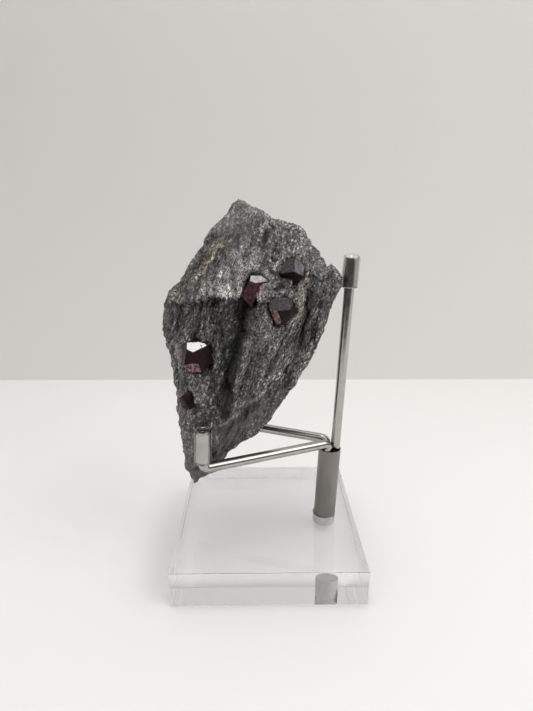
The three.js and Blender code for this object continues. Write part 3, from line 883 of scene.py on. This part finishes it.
postFinish = steelFinish("postSteel", **stand["postSteel"])
wireFinish = steelFinish("wireSteel", **stand["wireSteel"])
vinylFinish = clearFinish("clearVinyl", **cap["vinyl"])
place(makePiece("steelPost", *postShape(stand)), "post", postFinish, "post_steel")
place(makePiece("steelRod", *rodShape(stand)), "rod", wireFinish, "wire_steel")
rodEnd = (stand["wireCircle"], 0, stand["rodTop"])
place(makePiece("rodCap", *capShape(stand, cap, rodEnd, cap["rodLength"])), "rod_tip", vinylFinish, "clear_tip")
for side, arm in stand["arms"].items():
    points, faces, end = armShape(stand, arm)
    place(makePiece(side + "Wire", points, faces), side + "_arm", wireFinish, "wire_steel")
    sleeve = makePiece(side + "Cap", *capShape(stand, cap, end, cap["armLength"]))
    place(sleeve, side + "_arm_tip", vinylFinish, "clear_tip")
print("stand made")

points, quads, relief = stoneShape(stone, list(garnets["crystals"].values()))
schist = makePiece("schist", points, quads, 180)
# painted shade where the relief sinks in and painted highlight where it stands out, multiplied into the shade
# number with the stroke paint
hollowShadeRidgeLight = 1.08 - 0.5 * smoothStep(0.1, 1.0, -relief) + 0.35 * smoothStep(0.0, 0.6, relief)
paint(schist, "shade", 2 ** strokePaint(points, stone["toneAndShadeStrokes"]) * hollowShadeRidgeLight)
paint(schist, "sparkle", strokePaint(points, stone["sparkles"], 0.12))
paint(schist, "stain", strokePaint(points, stone["stains"]))
paint(schist, "calm", strokePaint(points, stone["calms"]))
paint(schist, "blush", strokePaint(points, stone["blushes"]))
place(schist, "matrix", schistFinish(stone), "schist")
print("stone made:", len(quads), "quads")

garnetRed = garnetFinish()
for seed, (name, crystal) in enumerate(garnets["crystals"].items()):
    points, quads, looks = crystalShape(garnets, crystal, seed)
    piece = makePiece(name, points, quads, 180)
    for k, layer in enumerate(("slate", "pale", "worn", "wine", "gloss")):
        paint(piece, layer, looks[:, k])
    place(piece, crystal["node"], garnetRed, "garnet")
print("garnets made")

# studio

studio = {
    "floorTone": (0.86, 0.852, 0.844),
    "wallTone": (0.88, 0.862, 0.838),
    "apronTone": (0.07, 0.068, 0.066),
    "apronAt": -200.0,
    "wallAt": 136.0,
    "wallHeight": 420.0,
    "reach": 900.0,
    "floorDrop": -0.05,
    "patchDrop": -0.03,
    "worldTone": (1.0, 0.992, 0.983),
    "skyByHeight": [(0.5, 0.24), (0.6, 0.34), (0.75, 0.68), (1.0, 1.28)],
    "skyByDepth": [(0.0, 0.55), (0.4, 0.85), (0.65, 1.0)],
    # painted light: the floor patch under the block glows by this much
    "underBlockGlow": 0.2,  # light that a clear block lets through to the floor
    # name, place, aims at, size, watts, tone
    "lamps": [
        ("frontRight", (360, -200, 420), (0, 0, 50), 320, 0.75, (1.0, 0.985, 0.96)),
        ("overhead", (-5, -15, 520), (-17, -17, 60), 200, 0.6, (1.0, 0.985, 0.96)),
    ],
}


def stagePlane(name, corners, tone, glow=0.0):
    # one plain rectangle that is not part of the object; a glow above zero makes it shine as painted light
    mesh = bpy.data.meshes.new(name)
    mesh.from_pydata([[v * mm for v in corner] for corner in corners], [], [[0, 1, 2, 3]])
    plane = bpy.data.objects.new(name, mesh)
    bpy.context.collection.objects.link(plane)
    finish, _, shader = newFinish(name)
    shader.inputs["Base Color"].default_value = (*tone, 1)
    shader.inputs["Roughness"].default_value = 0.7
    shader.inputs["Specular IOR Level"].default_value = 0.2
    shader.inputs["Emission Color"].default_value = (1, 0.985, 0.985, 1)
    shader.inputs["Emission Strength"].default_value = glow
    mesh.materials.append(finish)


def levelCorners(wide, front, back, height):
    # corners of a level rectangle, centred across
    return [(-wide, front, height), (wide, front, height), (wide, back, height), (-wide, back, height)]


def makeStudio(s):
    # floor, dark apron and wall, a glowing patch of painted light under the block, then a sky whose strength is
    # height ramp times depth ramp, then the lamps
    wall, apron, reach, drop = s["wallAt"], s["apronAt"], s["reach"], s["floorDrop"]
    stagePlane("floor", levelCorners(reach, apron, wall, drop), s["floorTone"])
    stagePlane("apron", levelCorners(reach, -reach, apron, drop), s["apronTone"])
    top = s["wallHeight"]
    upright = [(-reach, wall, drop), (reach, wall, drop), (reach, wall, top), (-reach, wall, top)]
    stagePlane("wall", upright, s["wallTone"])
    half = block["side"] / 2
    # the floor under the clear block glows, painted light standing in for the light the block lets through
    stagePlane("glowingFloorPatch", levelCorners(half, -half, half, s["patchDrop"]), s["floorTone"], s["underBlockGlow"])
    world = bpy.data.worlds.new("studio")
    world.use_nodes = True
    tree = world.node_tree
    background = tree.nodes["Background"]
    background.inputs["Color"].default_value = (*s["worldTone"], 1)
    ray = addNode(tree, "ShaderNodeTexCoord").outputs["Generated"]
    halved = addNode(tree, "ShaderNodeMapping", {"Vector": ray, "Location": (0.5,) * 3, "Scale": (0.5,) * 3})
    axes = addNode(tree, "ShaderNodeSeparateXYZ", {0: halved.outputs[0]})
    height = ramp(tree, axes.outputs[2], s["skyByHeight"])
    depth = ramp(tree, axes.outputs[1], s["skyByDepth"])
    tree.links.new(sums(tree, "MULTIPLY", height, depth), background.inputs["Strength"])
    bpy.context.scene.world = world
    for name, spot, target, size, watts, tone in s["lamps"]:
        lamp = bpy.data.lights.new(name, "AREA")
        lamp.size = size * mm
        lamp.energy = watts
        lamp.color = tone
        holder = bpy.data.objects.new(name, lamp)
        holder.location = [v * mm for v in spot]
        aim = (Vector(target) * mm - holder.location).to_track_quat("-Z", "Y")
        holder.rotation_euler = aim.to_euler()
        bpy.context.collection.objects.link(holder)


makeStudio(studio)
bpy.context.scene.view_settings.view_transform = "Standard"
print("studio made")
